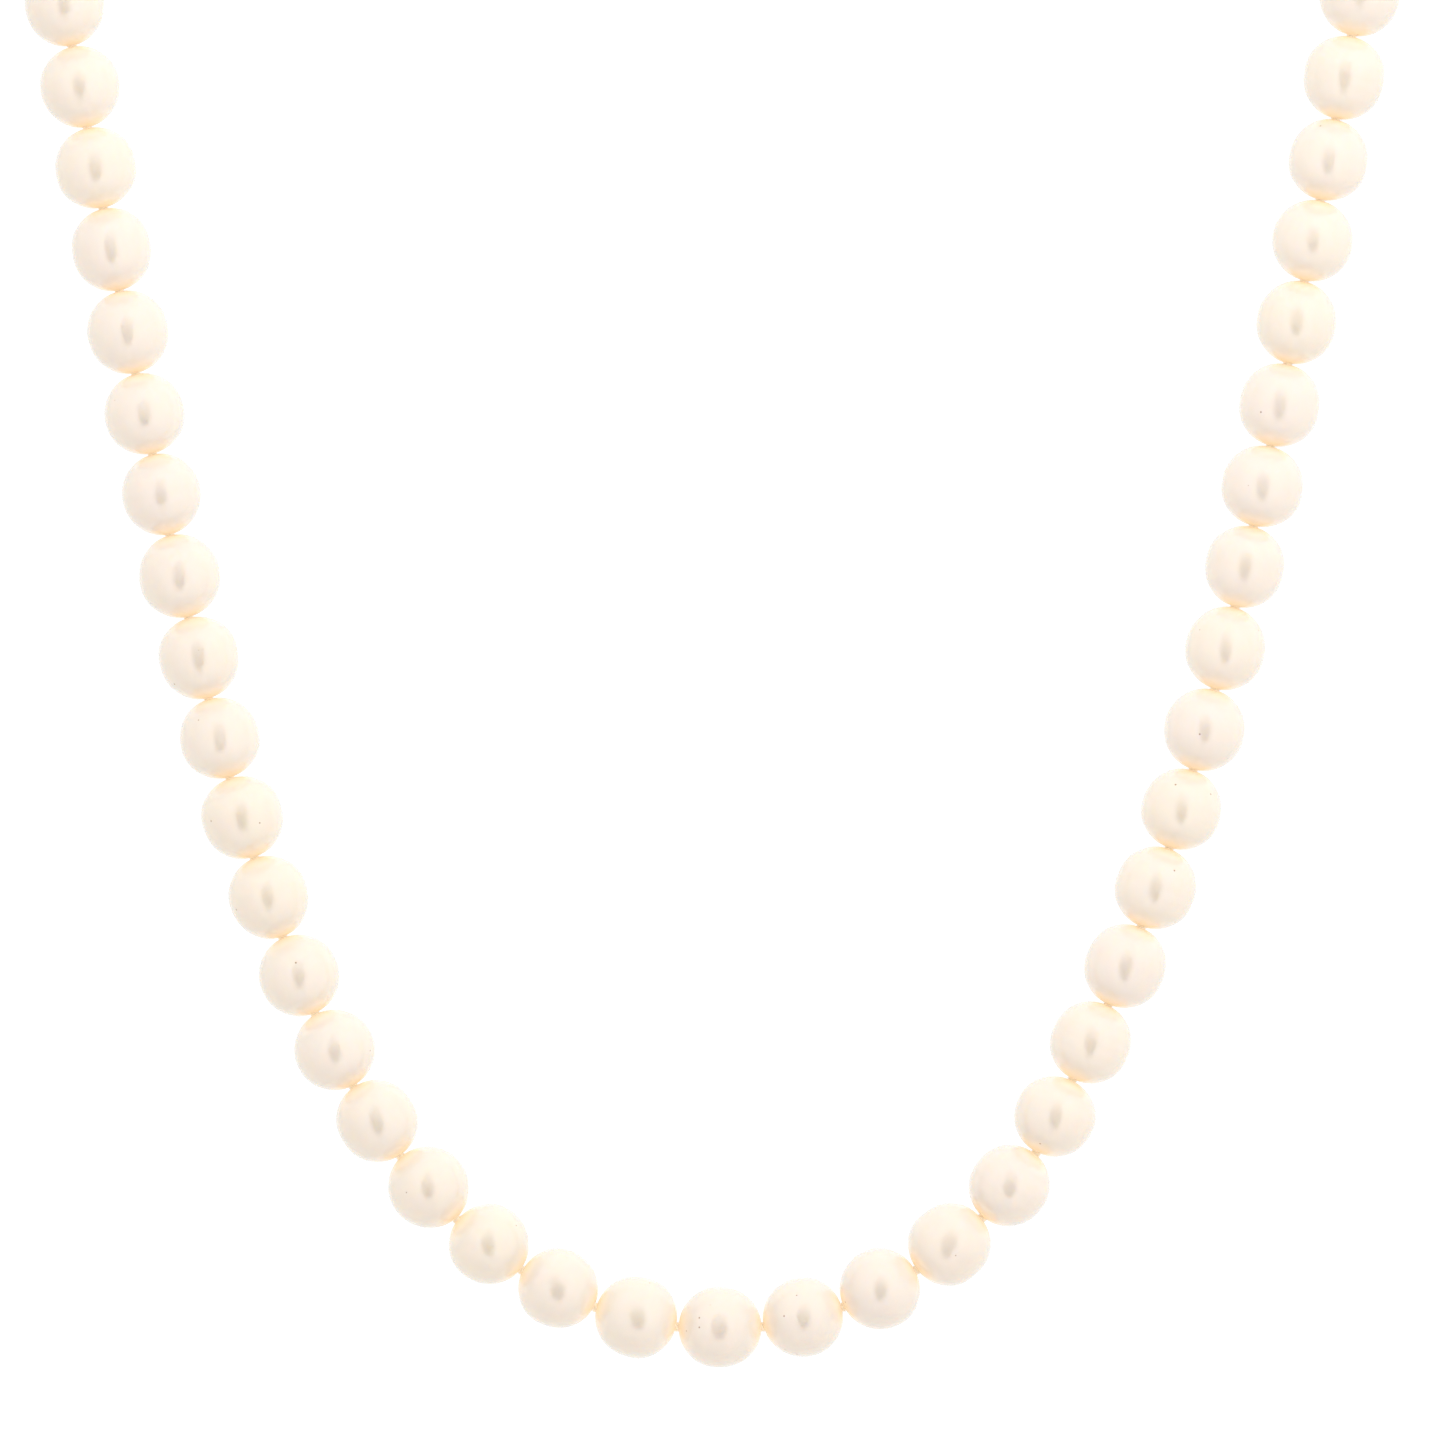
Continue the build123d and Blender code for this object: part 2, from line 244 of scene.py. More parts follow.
def joined(name, meshes):
    """One mesh from several, which share their materials."""
    work = bmesh.new()
    for mesh in meshes:
        work.from_mesh(mesh)
    whole = bpy.data.meshes.new(name)
    work.to_mesh(whole)
    work.free()
    for material in meshes[0].materials:
        whole.materials.append(material)
    for mesh in meshes:
        bpy.data.meshes.remove(mesh)
    return whole


def piece_of(name, mesh):
    made = bpy.data.objects.new(name, mesh)
    bpy.context.scene.collection.objects.link(made)
    return made


def along_thread(inner, outer):
    """Turns the +X axis to run from one knot to the next, and +Z to point up."""
    ahead = (outer - inner).normalized()
    side = UP.cross(ahead).normalized()
    above = ahead.cross(side)
    turn = Matrix((ahead, side, above)).transposed()
    return Matrix.Translation(inner) @ turn.to_4x4()


# %% [markdown]
# ## Nacre
#
# A pearl is hundreds of thin clear layers over a core. Light that enters them comes back warm and
# soft, and light that glances off the top layer is a clean mirror image, so a pearl shows its
# neighbours as sharp-edged caps beside the thread. One shader holds both: a soft base with light
# scattering under it, a thin film for the faint change of tint, and a clear coat for the mirror.
#
# The colour isn't even. It drifts a little over each pearl and from pearl to pearl, it is painted yellower
# beside the drill hole as warm light bounced from the neighbouring pearl, and a few brown specks sit in
# the skin.
#
# Between two real pearls the light goes on through both skins, and the gap glows warm. The shader's
# scattering leaves that gap far too dark, and more bounces of light don't mend it. So the nacre near each
# hole, and the silk between, give out a little warm light of their own, and the mirror coat fades out
# towards the hole. Both are stand-ins that were matched by colour, and they aren't measured properties of
# nacre.


# %% Small helpers for materials
def new_material(name):
    material = bpy.data.materials.new(name)
    material.use_nodes = True
    tree = material.node_tree
    return material, tree, tree.nodes["Principled BSDF"]


def noise(tree, where, scale, detail=2.0, roughness=0.5):
    """Noise in object space: scale is in cells a metre."""
    sizes = {"Vector": where, "Scale": scale, "Detail": detail, "Roughness": roughness}
    return out(tree, node_of(tree, "ShaderNodeTexNoise", sizes), 0)


def between(tree, share, one, two):
    """A colour between one and two."""
    mix = node_of(tree, "ShaderNodeMix", {"Factor": share}, data_type="RGBA")
    for slot, colour in ((mix.inputs[6], one), (mix.inputs[7], two)):
        plug(tree, colour if isinstance(colour, Wire) else (*colour, 1), slot)
    return Wire(tree, mix.outputs[2])


def ramp(tree, value, low, high):
    """0 below low and 1 above high, with a soft step between."""
    sizes = {0: value, 1: low, 2: high, 3: 0.0, 4: 1.0}
    step = node_of(tree, "ShaderNodeMapRange", sizes, interpolation_type="SMOOTHSTEP")
    return out(tree, step)


def bumpy(tree, shader, height, depth):
    """Fine relief that is too small for the mesh. depth is in metres."""
    sizes = {"Height": height, "Distance": depth, "Strength": 1.0}
    bump = node_of(tree, "ShaderNodeBump", sizes)
    plug(tree, out(tree, bump), shader.inputs["Normal"])


def set_all(shader, **values):
    for name, value in values.items():
        shader.inputs[name.replace("_", " ")].default_value = value


# %% The nacre itself
PINK_CREAM = (0.600, 0.545, 0.505)
YELLOW_CREAM = (0.610, 0.556, 0.484)
# the next colour is painted warm bounce light, laid beside the holes
HOLE_PAINTED_BOUNCE = (0.780, 0.590, 0.320)
SPECK_BROWN = (0.220, 0.120, 0.060)
GAP_GLOW = (1.000, 0.760, 0.540)
NACRE_GLOW = 0.24  # beside the hole
SILK_GLOW = 0.22
GLOW_ZONE = (0.60, 1.0)  # where the glow starts and is full, from a pearl's middle to its mouth
COAT_ZONE = (0.72, 0.98)  # where the coat starts to fade and has faded
COAT_LOST = 0.9
DRIFT_A_METRE = 260.0
SPECKS_A_METRE = 900.0
SPECK_EDGE = (0.11, 0.05)  # a speck's rim and its full colour, in shares of a cell
SPECKS_KEPT = (0.88, 0.89)  # about one cell in nine has a speck

nacre, tree, shader = new_material("nacre")
spot = out(tree, node_of(tree, "ShaderNodeTexCoord"), "Object")
tone = out(tree, node_of(tree, "ShaderNodeAttribute", attribute_name="tone"), "Fac")
ends = out(tree, node_of(tree, "ShaderNodeAttribute", attribute_name="near_hole"), "Fac")
drift = noise(tree, spot, DRIFT_A_METRE, 3.0)
colour = between(tree, tone * 0.7 + drift * 0.5 - 0.1, PINK_CREAM, YELLOW_CREAM)
# painted warm bounce light: the nacre turns yellower towards each hole, standing in for light bounced from
# the next pearl
colour = between(tree, ends * 0.55, colour, HOLE_PAINTED_BOUNCE)
cells = node_of(tree, "ShaderNodeTexVoronoi", {"Vector": spot, "Scale": SPECKS_A_METRE})
few = node_of(tree, "ShaderNodeSeparateXYZ", {0: out(tree, cells, "Color")})
near = ramp(tree, out(tree, cells, "Distance"), *SPECK_EDGE)
speck = near * ramp(tree, out(tree, few), *SPECKS_KEPT)
colour = between(tree, speck * 0.8, colour, SPECK_BROWN)
plug(tree, colour, shader.inputs["Base Color"])
set_all(
    shader, Roughness=0.22, IOR=1.62, Subsurface_Weight=1.0, Subsurface_Scale=0.007,
    Subsurface_Radius=(1.0, 0.75, 0.45), Coat_Roughness=0.04, Coat_IOR=2.2,
    Thin_Film_Thickness=256.0, Thin_Film_IOR=1.55,
)
reached = out(tree, node_of(tree, "ShaderNodeAttribute", attribute_name="over"), "Fac")
cut = ramp(tree, reached.math("ABSOLUTE"), *COAT_ZONE)
plug(tree, cut * -COAT_LOST + 1.0, shader.inputs["Coat Weight"])
glow = ramp(tree, reached.math("ABSOLUTE"), *GLOW_ZONE) * NACRE_GLOW
plug(tree, glow, shader.inputs["Emission Strength"])
shader.inputs["Emission Color"].default_value = (*GAP_GLOW, 1)
grain = noise(tree, spot, 2600.0, 4.0, 0.6) * 0.6 + noise(tree, spot, 700.0, 2.0) * 0.4
bumpy(tree, shader, grain, 0.012 * MM)
print("nacre is ready:", len(tree.nodes), "nodes")

# %% [markdown]
# ## Pearls
#
# Each pearl could be a sphere, but none is: some are barrels, some lean to one end like an egg, all
# have faint swellings and pits, and some have growth rings. The rule is an outline turned about the
# thread. A flat grid is rolled up by formula: one way it goes round the thread, and the other way it
# runs over the skin from hole to hole and then back through the drilled bore. The grid's edges
# meet, so merging them gives a closed skin with a real hole through it.
#
# Swellings, rings and pits push the skin inwards only, so a pearl never grows into its neighbour.

# %% The tree that grows a pearl
BORE = 0.38 * MM
MOUTH = 0.46 * MM
SKIN_SHARE = 0.86  # the share of the grid's rows that cover the skin, the rest line the bore
FLARE_POWER = 8.0  # how suddenly the bore opens out at its mouths
HOLE_ZONE = 0.20  # the share of the way to a mouth that is painted yellower with warm bounce light, and where the relief fades out

pearl_tree, size = start_tree("grow a pearl", {
    "Length": 7.6 * MM, "Radius": 3.7 * MM, "Gap": 0.34 * MM, "Barrel": 2.15, "Egg": 0.02,
    "Swelling": 0.10 * MM, "Rings": 0.01 * MM, "Pits": 0.02 * MM, "Bore": BORE, "Mouth": MOUTH,
    "Tone": 0.5, "Seed": 0, "Around": 112, "Rows": 80,
})
t = pearl_tree
grid = node_of(t, "GeometryNodeMeshGrid", {
    "Size X": 1.0, "Size Y": 1.0, "Vertices X": size["Around"] + 1, "Vertices Y": size["Rows"] + 1,
})
flat = node_of(t, "ShaderNodeSeparateXYZ", {0: out(t, node_of(t, "GeometryNodeInputPosition"))})
round_share = out(t, flat, "X") + 0.5
row_share = out(t, flat, "Y") + 0.5
on_skin = row_share.math("LESS_THAN", SKIN_SHARE + 1e-5)
in_bore = on_skin * -1.0 + 1.0
skin_share = (row_share / SKIN_SHARE).math("MINIMUM", 1.0)
bore_share = ((row_share - SKIN_SHARE) / (1 - SKIN_SHARE)).math("MAXIMUM", 0.0)

# over the skin: from -1 at one mouth to 1 at the other, ending where the outline is as wide as the mouth
half = (size["Length"] - size["Gap"]) * 0.5
mouth_ratio = size["Mouth"] / size["Radius"]
reach = (mouth_ratio * mouth_ratio * -1.0 + 1.0) ** (size["Barrel"].math("POWER", -1.0))
over = (skin_share * pi).math("COSINE") * reach * -1.0
bulge = (over.math("ABSOLUTE") ** size["Barrel"] * -1.0 + 1.0).math("MAXIMUM", 0.0).math("SQRT")
lean = size["Egg"] * over * (over * over * -1.0 + 1.0) + 1.0
skin_radius = size["Radius"] * bulge * lean

# and back through the bore, which flares at both mouths
back = bore_share * -2.0 + 1.0
flare = back.math("ABSOLUTE") ** FLARE_POWER
bore_radius = size["Bore"] + (size["Mouth"] - size["Bore"]) * flare

along = over * on_skin + back * reach * in_bore
radius = skin_radius * on_skin + bore_radius * in_bore
angle = round_share * (2 * pi)
spot_on = vector_of(
    t, size["Length"] * 0.5 + half * along, radius * angle.math("COSINE"), radius * angle.math("SINE")
)
near_hole = ((over.math("ABSOLUTE") - (1 - HOLE_ZONE)) / HOLE_ZONE).math("MAXIMUM", 0.0) ** 1.5
near_hole = (near_hole * on_skin + in_bore).math("MINIMUM", 1.0)
over = over * on_skin + back * in_bore

# the marks are kept while the grid is still flat, because every formula here starts from its place
shape = out(t, grid, "Mesh")
marks = {"near_hole": near_hole, "on_skin": on_skin, "over": over, "tone": size["Tone"]}
for label, value in marks.items():
    kept = {"Geometry": shape, "Name": label, "Value": value}
    shape = out(t, node_of(t, "GeometryNodeStoreNamedAttribute", kept))
layout = node_of(
    t, "GeometryNodeStoreNamedAttribute",
    {"Geometry": shape, "Name": "turn and length", "Value": out(t, grid, "UV Map")},
    data_type="FLOAT2", domain="CORNER",
)
rolled = node_of(t, "GeometryNodeSetPosition", {"Geometry": out(t, layout), "Position": spot_on})
closed = node_of(
    t, "GeometryNodeMergeByDistance", {"Geometry": out(t, rolled), "Distance": 0.001 * MM}
)
print("rolled and closed")

# %% [markdown]
# The relief comes in three sizes. Swellings are as broad as half the pearl, rings circle the
# thread, and pits are fine dents. Noise with a fourth number gives each pearl its own pattern: the
# seed moves along that fourth direction.

# %% Press the relief into the skin
SEED_STEP = 7.31
SWELLINGS_A_METRE = 190.0
PITS_A_METRE = 620.0
PIT_STEEPNESS = 4.5
RING_TURNS = 21.0  # radians of the ring's wave from the middle of a pearl to its mouth
RING_WANDER = 5.0

here = out(t, node_of(t, "GeometryNodeInputPosition"))
seed = size["Seed"] * SEED_STEP
swelling = node_of(
    t, "ShaderNodeTexNoise",
    {"Vector": here, "W": seed, "Scale": SWELLINGS_A_METRE, "Detail": 1.0}, noise_dimensions="4D",
)
dents = node_of(
    t, "ShaderNodeTexVoronoi", {"Vector": here, "W": seed, "Scale": PITS_A_METRE},
    voronoi_dimensions="4D",
)
named = {}
for label in ("on_skin", "over", "near_hole"):
    named[label] = out(t, node_of(t, "GeometryNodeInputNamedAttribute", {"Name": label}), "Attribute")
swell_in = out(t, swelling) * size["Swelling"]
wander = out(t, swelling) * RING_WANDER
ring_in = ((named["over"] * RING_TURNS + wander).math("SINE") * 0.5 + 0.5) * size["Rings"]
dent_depth = (out(t, dents, "Distance") * -PIT_STEEPNESS + 1.0).math("MAXIMUM", 0.0)
pit_in = dent_depth * dent_depth * size["Pits"]
inward = (swell_in + ring_in + pit_in) * named["on_skin"] * (named["near_hole"] * -1.0 + 1.0)
outward = out(t, node_of(t, "GeometryNodeInputNormal"))
push = node_of(t, "ShaderNodeVectorMath", {0: outward}, operation="SCALE")
plug(t, inward * -1.0, push.inputs["Scale"])
pressed = node_of(t, "GeometryNodeSetPosition", {"Geometry": out(t, closed), "Offset": out(t, push)})
end_tree(t, out(t, pressed), size["Finish"])
print("the pearl tree has", len(t.nodes), "nodes")

# %% [markdown]
# ## Silk
#
# The thread is pale silk, three plies twisted together. It shows only as a neck between two pearls,
# where it is tied in a knot that sinks partly into both drill holes. The twist could be three
# separate coils, but a three-lobed section that turns as it runs along the path looks the same and
# needs a third of the faces. The same section makes the straight thread and the knot.


# %% A twisted thread along any path
def twisted(tree, path, thickness, turns):
    """Sweeps a three-lobed section along a path, turning it evenly on the way."""
    share = out(tree, node_of(tree, "GeometryNodeSplineParameter"), "Factor")
    tilted = node_of(tree, "GeometryNodeSetCurveTilt", {"Curve": path, "Tilt": share * turns * (2 * pi)})
    star = node_of(tree, "GeometryNodeCurveStar", {
        "Points": 3, "Inner Radius": thickness * 0.66, "Outer Radius": thickness * 1.04,
    })
    rounded = node_of(
        tree, "GeometryNodeCurveSplineType", {"Curve": out(tree, star)}, spline_type="CATMULL_ROM"
    )
    lobes = node_of(tree, "GeometryNodeSetSplineResolution", {
        "Geometry": out(tree, rounded), "Resolution": 2,
    })
    swept = node_of(tree, "GeometryNodeCurveToMesh", {
        "Curve": out(tree, tilted), "Profile Curve": out(tree, lobes), "Fill Caps": True,
    })
    return out(tree, swept)


thread_tree, size = start_tree("lay thread", {
    "Start": 0.3 * MM, "End": 7.3 * MM, "Thickness": 0.3 * MM, "Turns": 7.0, "Steps": 84,
})
t = thread_tree
line = node_of(t, "GeometryNodeCurvePrimitiveLine", {
    "Start": vector_of(t, size["Start"], 0.0, 0.0), "End": vector_of(t, size["End"], 0.0, 0.0),
})
stepped = node_of(t, "GeometryNodeResampleCurve", {"Curve": out(t, line), "Count": size["Steps"]})
end_tree(t, twisted(t, out(t, stepped), size["Thickness"], size["Turns"]), size["Finish"])
print("the thread tree has", len(t.nodes), "nodes")

# %% [markdown]
# A pulled-tight overhand knot is nearly a ball. A trefoil has the same crossings and a one-line
# formula: the path circles the thread twice while it weaves in and out three times.

# %% The tree that ties a knot
knot_tree, size = start_tree("tie a knot", {
    "Wrap": 0.20 * MM, "Weave": 0.11 * MM, "Thickness": 0.17 * MM, "Turns": 9.0, "Steps": 72,
})
t = knot_tree
circle = node_of(t, "GeometryNodeCurvePrimitiveCircle", {"Resolution": size["Steps"], "Radius": 1.0})
share = out(t, node_of(t, "GeometryNodeSplineParameter"), "Factor")
twice = share * (4 * pi)
thrice = share * (6 * pi)
wrap = size["Wrap"] + size["Weave"] * thrice.math("COSINE")
woven = node_of(t, "GeometryNodeSetPosition", {
    "Geometry": out(t, circle),
    "Position": vector_of(
        t, size["Weave"] * thrice.math("SINE"), wrap * twice.math("COSINE"), wrap * twice.math("SINE")
    ),
})
end_tree(t, twisted(t, out(t, woven), size["Thickness"], size["Turns"]), size["Finish"])
print("the knot tree has", len(t.nodes), "nodes")

# %% [markdown]
# Silk isn't shiny like nylon. It is soft and slightly fuzzy, so it is a rough base with a sheen, and
# fine noise for the filaments in both its colour and its relief. It has its share of the warm glow.

# %% The silk finish
SILK_LIGHT = (0.960, 0.880, 0.660)
SILK_DARK = (0.900, 0.780, 0.520)

silk, tree, shader = new_material("silk")
spot = out(tree, node_of(tree, "ShaderNodeTexCoord"), "Object")
filaments = noise(tree, spot, 9000.0, 3.0, 0.7)
plug(tree, between(tree, filaments, SILK_DARK, SILK_LIGHT), shader.inputs["Base Color"])
set_all(
    shader, Roughness=0.7, Sheen_Weight=0.35, Sheen_Roughness=0.4,
    Subsurface_Weight=1.0, Subsurface_Scale=0.001, Subsurface_Radius=(1.0, 0.9, 0.7),
    Emission_Color=(*GAP_GLOW, 1), Emission_Strength=SILK_GLOW,
)
bumpy(tree, shader, filaments, 0.02 * MM)
print("silk is ready")

# %% [markdown]
# ## String the pearls
#
# Now each body gets its pearls and its silk. The same seeded dice decide every pearl's shape, so
# the strand comes out the same each time. A pearl rests on the table, so its radius is the height
# of its thread. On each body the pearls are one piece and the silk another, and both move together.

# %% Make every pearl and its thread
dice = random.Random(1957)
KNOT_GIVE = radians(13)  # every knot bends this far each way
SPARE_GAP = 0.02 * MM
THREAD_RADIUS = 0.26 * MM
THREAD_INSET = 0.25 * MM  # the straight thread starts and ends inside a knot


def knots_beyond(side):
    """The knots of one side, outwards from the front pearl's own knot."""
    return [knot for body, knots in strand[side] for knot in knots[1:]]


line = [*reversed(knots_beyond("left")), *front_knots, *knots_beyond("right")]


def gap_at(index):
    """The bare thread that lets two round pearls bend about a knot without touching."""
    if index in (0, len(line) - 1):
        return SPARE_GAP
    bend = (line[index] - line[index - 1]).angle(line[index + 1] - line[index]) + KNOT_GIVE
    return 2 * line[index].z * (1 / cos(bend / 2) - 1) + SPARE_GAP


gaps = [gap_at(index) for index in range(len(line))]
print("gaps at the knots, mm:", round(min(gaps) / MM, 2), "to", round(max(gaps) / MM, 2))


def grow(inner, outer, gap, seed):
    """One pearl between two knots, with its own shape drawn from the dice."""
    made = run_tree(
        pearl_tree, nacre,
        Length=(outer - inner).length,
        Radius=(inner.z + outer.z) / 2,
        Gap=gap,
        Barrel=dice.uniform(2.0, 2.35),
        Egg=dice.uniform(-0.035, 0.035),
        Swelling=dice.uniform(0.04, 0.13) * MM,
        Rings=dice.choice((0.0, 0.0, 0.004, 0.012)) * MM,
        Pits=dice.uniform(0.01, 0.05) * MM,
        Tone=dice.random(),
        Seed=seed,
    )
    made.transform(along_thread(inner, outer))
    return made


def tie(knot, ahead):
    made = run_tree(knot_tree, silk)
    made.transform(along_thread(knot, knot + ahead))
    return made


def lay(inner, outer):
    length = (outer - inner).length
    made = run_tree(
        thread_tree, silk, Start=THREAD_INSET, End=length - THREAD_INSET, Thickness=THREAD_RADIUS
    )
    made.transform(along_thread(inner, outer))
    return made


count = 0
for body, knots in links:
    nodes = frame["record"]["behaviour"]["bodies"][body]
    pearls, threads = [], []
    for inner, outer in zip(knots, knots[1:]):
        gap = max(gaps[line.index(inner)], gaps[line.index(outer)])
        pearls.append(grow(inner, outer, gap, count))
        threads += [lay(inner, outer), tie(outer, outer - inner)]
        count += 1
    if body == "front":
        threads.append(tie(knots[0], knots[1] - knots[0]))
    pearl = piece_of(f"nacre_{body}", joined(f"nacre_{body}", pearls))
    thread = piece_of(f"silk_{body}", joined(f"silk_{body}", threads))
    for made, slot in ((pearl, "pearl"), (thread, "silk")):
        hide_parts(*nodes)
        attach(made, body)
faces = sum(len(o.data.polygons) for o in bpy.data.objects if o.name.startswith("nacre_"))
print("strung", count, "pearls with", faces, "faces")

# %% [markdown]
# ## Metal
#
# The ends are gold. Polished gold has almost no colour of its own beyond its reflections, so what
# makes it look real is its wear: hair-fine scratches that run every way, and a slightly uneven
# polish. Both are noise in the roughness and in a very shallow relief. Bullion wire is drawn and
# left satin, so it is rougher, and the spring is plain steel.


# %% Gold, bullion and steel
CLOUDS_A_METRE = 900.0
HAIRS_A_METRE = (900.0, 9000.0, 2400.0)
HAIR_TURN = (0.3, 0.5, 0.8)
POLISH_DRIFT = 0.22


def metal(name, light, dark, polish, scratches):
    """A metal whose polish runs from polish to a little rougher, with fine scratches."""
    material, tree, shader = new_material(name)
    spot = out(tree, node_of(tree, "ShaderNodeTexCoord"), "Object")
    cloud = noise(tree, spot, CLOUDS_A_METRE, 3.0)
    plug(tree, between(tree, cloud, dark, light), shader.inputs["Base Color"])
    stretched = node_of(
        tree, "ShaderNodeMapping", {"Vector": spot, "Scale": HAIRS_A_METRE, "Rotation": HAIR_TURN}
    )
    hairs = noise(tree, out(tree, stretched), 1.0, 4.0, 0.7)
    plug(tree, (cloud * 0.5 + hairs * 0.5) * POLISH_DRIFT + polish, shader.inputs["Roughness"])
    shader.inputs["Metallic"].default_value = 1.0
    bumpy(tree, shader, hairs, scratches)
    return material


gold = metal("gold", (0.900, 0.690, 0.350), (0.840, 0.600, 0.260), 0.08, 0.004 * MM)
bullion_gold = metal("bullion gold", (0.900, 0.720, 0.400), (0.800, 0.580, 0.280), 0.24, 0.002 * MM)
spring_steel = metal("spring steel", (0.640, 0.640, 0.650), (0.480, 0.480, 0.490), 0.20, 0.002 * MM)
print("metals are ready")

# %% [markdown]
# ## Wire
#
# Bullion is a hollow spring of very fine wire. It is slipped over the thread so that the ring can't
# saw through the silk, and the thread draws it round into a loop. The spring under the lever is
# wire too, and so is a jump ring, which is one turn that was sawn off a coil and closed, so a thin
# cut shows. All three are a line of points moved by a formula, with a round section swept along.


# %% The trees that wind wire
def wound(tree, steps, where, thickness, sides):
    """A wire through the points that a formula gives."""
    line = node_of(tree, "GeometryNodeCurvePrimitiveLine")
    stepped = node_of(tree, "GeometryNodeResampleCurve", {"Curve": out(tree, line), "Count": steps})
    bent = node_of(
        tree, "GeometryNodeSetPosition", {"Geometry": out(tree, stepped), "Position": where}
    )
    section = node_of(
        tree, "GeometryNodeCurvePrimitiveCircle", {"Resolution": sides, "Radius": thickness}
    )
    swept = node_of(tree, "GeometryNodeCurveToMesh", {
        "Curve": out(tree, bent), "Profile Curve": out(tree, section), "Fill Caps": True,
    })
    return out(tree, swept)


def share_of(tree):
    """How far along the line a point is, from 0 to 1."""
    at = node_of(tree, "ShaderNodeSeparateXYZ", {0: out(tree, node_of(tree, "GeometryNodeInputPosition"))})
    return out(tree, at, "Z")


coil_tree, size = start_tree("wind bullion", {
    "Loop": 1.30 * MM, "Coil": 0.35 * MM, "Wire": 0.07 * MM, "Turns": 54.0, "Steps": 540,
    "Opening": 0.44, "Sides": 5,
})
t = coil_tree
share = share_of(t)
around = share * (size["Opening"] * -2.0 + 2 * pi) + size["Opening"] - pi
twist = share * size["Turns"] * (2 * pi)
reach = size["Loop"] + size["Coil"] * twist.math("COSINE")
where = vector_of(
    t, reach * around.math("COSINE"), reach * around.math("SINE"), size["Coil"] * twist.math("SINE")
)
end_tree(t, wound(t, size["Steps"], where, size["Wire"], size["Sides"]), size["Finish"])

spring_tree, size = start_tree("wind a spring", {
    "Coil": 0.61 * MM, "Wire": 0.07 * MM, "Height": 0.28 * MM, "Turns": 2.75, "Steps": 90, "Sides": 8,
})
t = spring_tree
share = share_of(t)
twist = share * size["Turns"] * (2 * pi)
where = vector_of(
    t, size["Coil"] * twist.math("COSINE"), size["Coil"] * twist.math("SINE"), size["Height"] * share
)
end_tree(t, wound(t, size["Steps"], where, size["Wire"], size["Sides"]), size["Finish"])

ring_tree, size = start_tree("close a jump ring", {
    "Loop": 1.90 * MM, "Wire": 0.40 * MM, "Cut": 0.018, "Step": 0.02 * MM, "Steps": 97, "Sides": 20,
})
t = ring_tree
share = share_of(t)
around = share * (size["Cut"] * -2.0 + 2 * pi) + size["Cut"]
where = vector_of(
    t, size["Loop"] * around.math("COSINE"), size["Loop"] * around.math("SINE"),
    size["Step"] * (share - 0.5),
)
end_tree(t, wound(t, size["Steps"], where, size["Wire"], size["Sides"]), size["Finish"])
print("three wire trees are ready")

# %% [markdown]
# Each wire is laid on axes read from the working model. The bullion loop lies on the slope between
# the end knot and the place where the ring hangs. The ring stands upright through it.

# %% Wind the loops and hang the rings
BULLION_REACH = 2.05 * MM  # from the end knot to the middle of the loop
LOOP_RADIUS = 1.30 * MM
LOOP_OPENING = 0.44  # radians, each side of the knot
LEG_RADIUS = 0.20 * MM
RING_CUT_RISE = 0.8  # turns the ring's cut up from ahead, by this much over one


def axes_at(origin, ahead, normal):
    """A place whose +X is ahead and whose +Z is normal."""
    ahead = ahead.normalized()
    normal = normal.normalized()
    turn = Matrix((ahead, normal.cross(ahead), normal)).transposed()
    return Matrix.Translation(origin) @ turn.to_4x4()


def finish_piece(name, mesh, body, slot, *nodes):
    made = piece_of(name, mesh)
    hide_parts(*nodes)
    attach(made, body)
    return made


for side, start in (("left", "clasp"), ("right", "tab")):
    knot = place(f"{side}_bullion_swing")
    hang = place(f"{start}_ring_flap")
    eye = place(f"{start}_swing")
    ahead = Vector((eye.x - hang.x, eye.y - hang.y, 0)).normalized()
    slope = (hang - knot).normalized()
    loop = axes_at(knot + slope * BULLION_REACH, slope, slope.cross(UP.cross(ahead)))
    coil = run_tree(coil_tree, bullion_gold, Loop=LOOP_RADIUS, Opening=LOOP_OPENING)
    coil.transform(loop)
    finish_piece(f"wire_{side}_bullion", coil, f"{side}_bullion", "bullion", f"{side}_bullion")

    legs = []
    for sign in (-1, 1):
        angle = sign * (pi - LOOP_OPENING)
        mouth = loop @ Vector((LOOP_RADIUS * cos(angle), LOOP_RADIUS * sin(angle), 0))
        leg = run_tree(
            thread_tree, silk, Start=0.0, End=(mouth - knot).length, Thickness=LEG_RADIUS,
            Turns=1.5, Steps=12,
        )
        leg.transform(along_thread(knot, mouth))
        legs.append(leg)
    finish_piece(
        f"silk_{side}_loop", joined(f"silk_{side}_loop", legs), f"{side}_bullion", "silk",
        f"{side}_bullion",
    )

    low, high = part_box(f"{start}_ring")
    middle = (low + high) / 2
    ring = run_tree(ring_tree, gold)
    ring.transform(axes_at(middle, ahead + UP * RING_CUT_RISE, ahead.cross(UP)))
    finish_piece(f"gold_{start}_ring", ring, f"{start}_ring", "gold", f"{start}_ring")
print("both ends are hung")

# %% [markdown]
# ## Clasp and tab
#
# The clasp and the tab are cast and then tumbled, which rounds every edge a little and makes it
# catch the light. The working model's shapes are right, but their edges are sharp. A copy of each
# is welded into one skin, its flat faces are joined up, and its edges get a small bevel.

# %% Round the edges of the castings
TUMBLED = 0.07 * MM
WELD = 0.0005 * MM
FLAT = radians(1.0)  # faces that meet at less than this are one flat face
EDGE = radians(40)  # edges sharper than this are rounded
CREASE = radians(32)  # edges sharper than this stay crisp in the shading


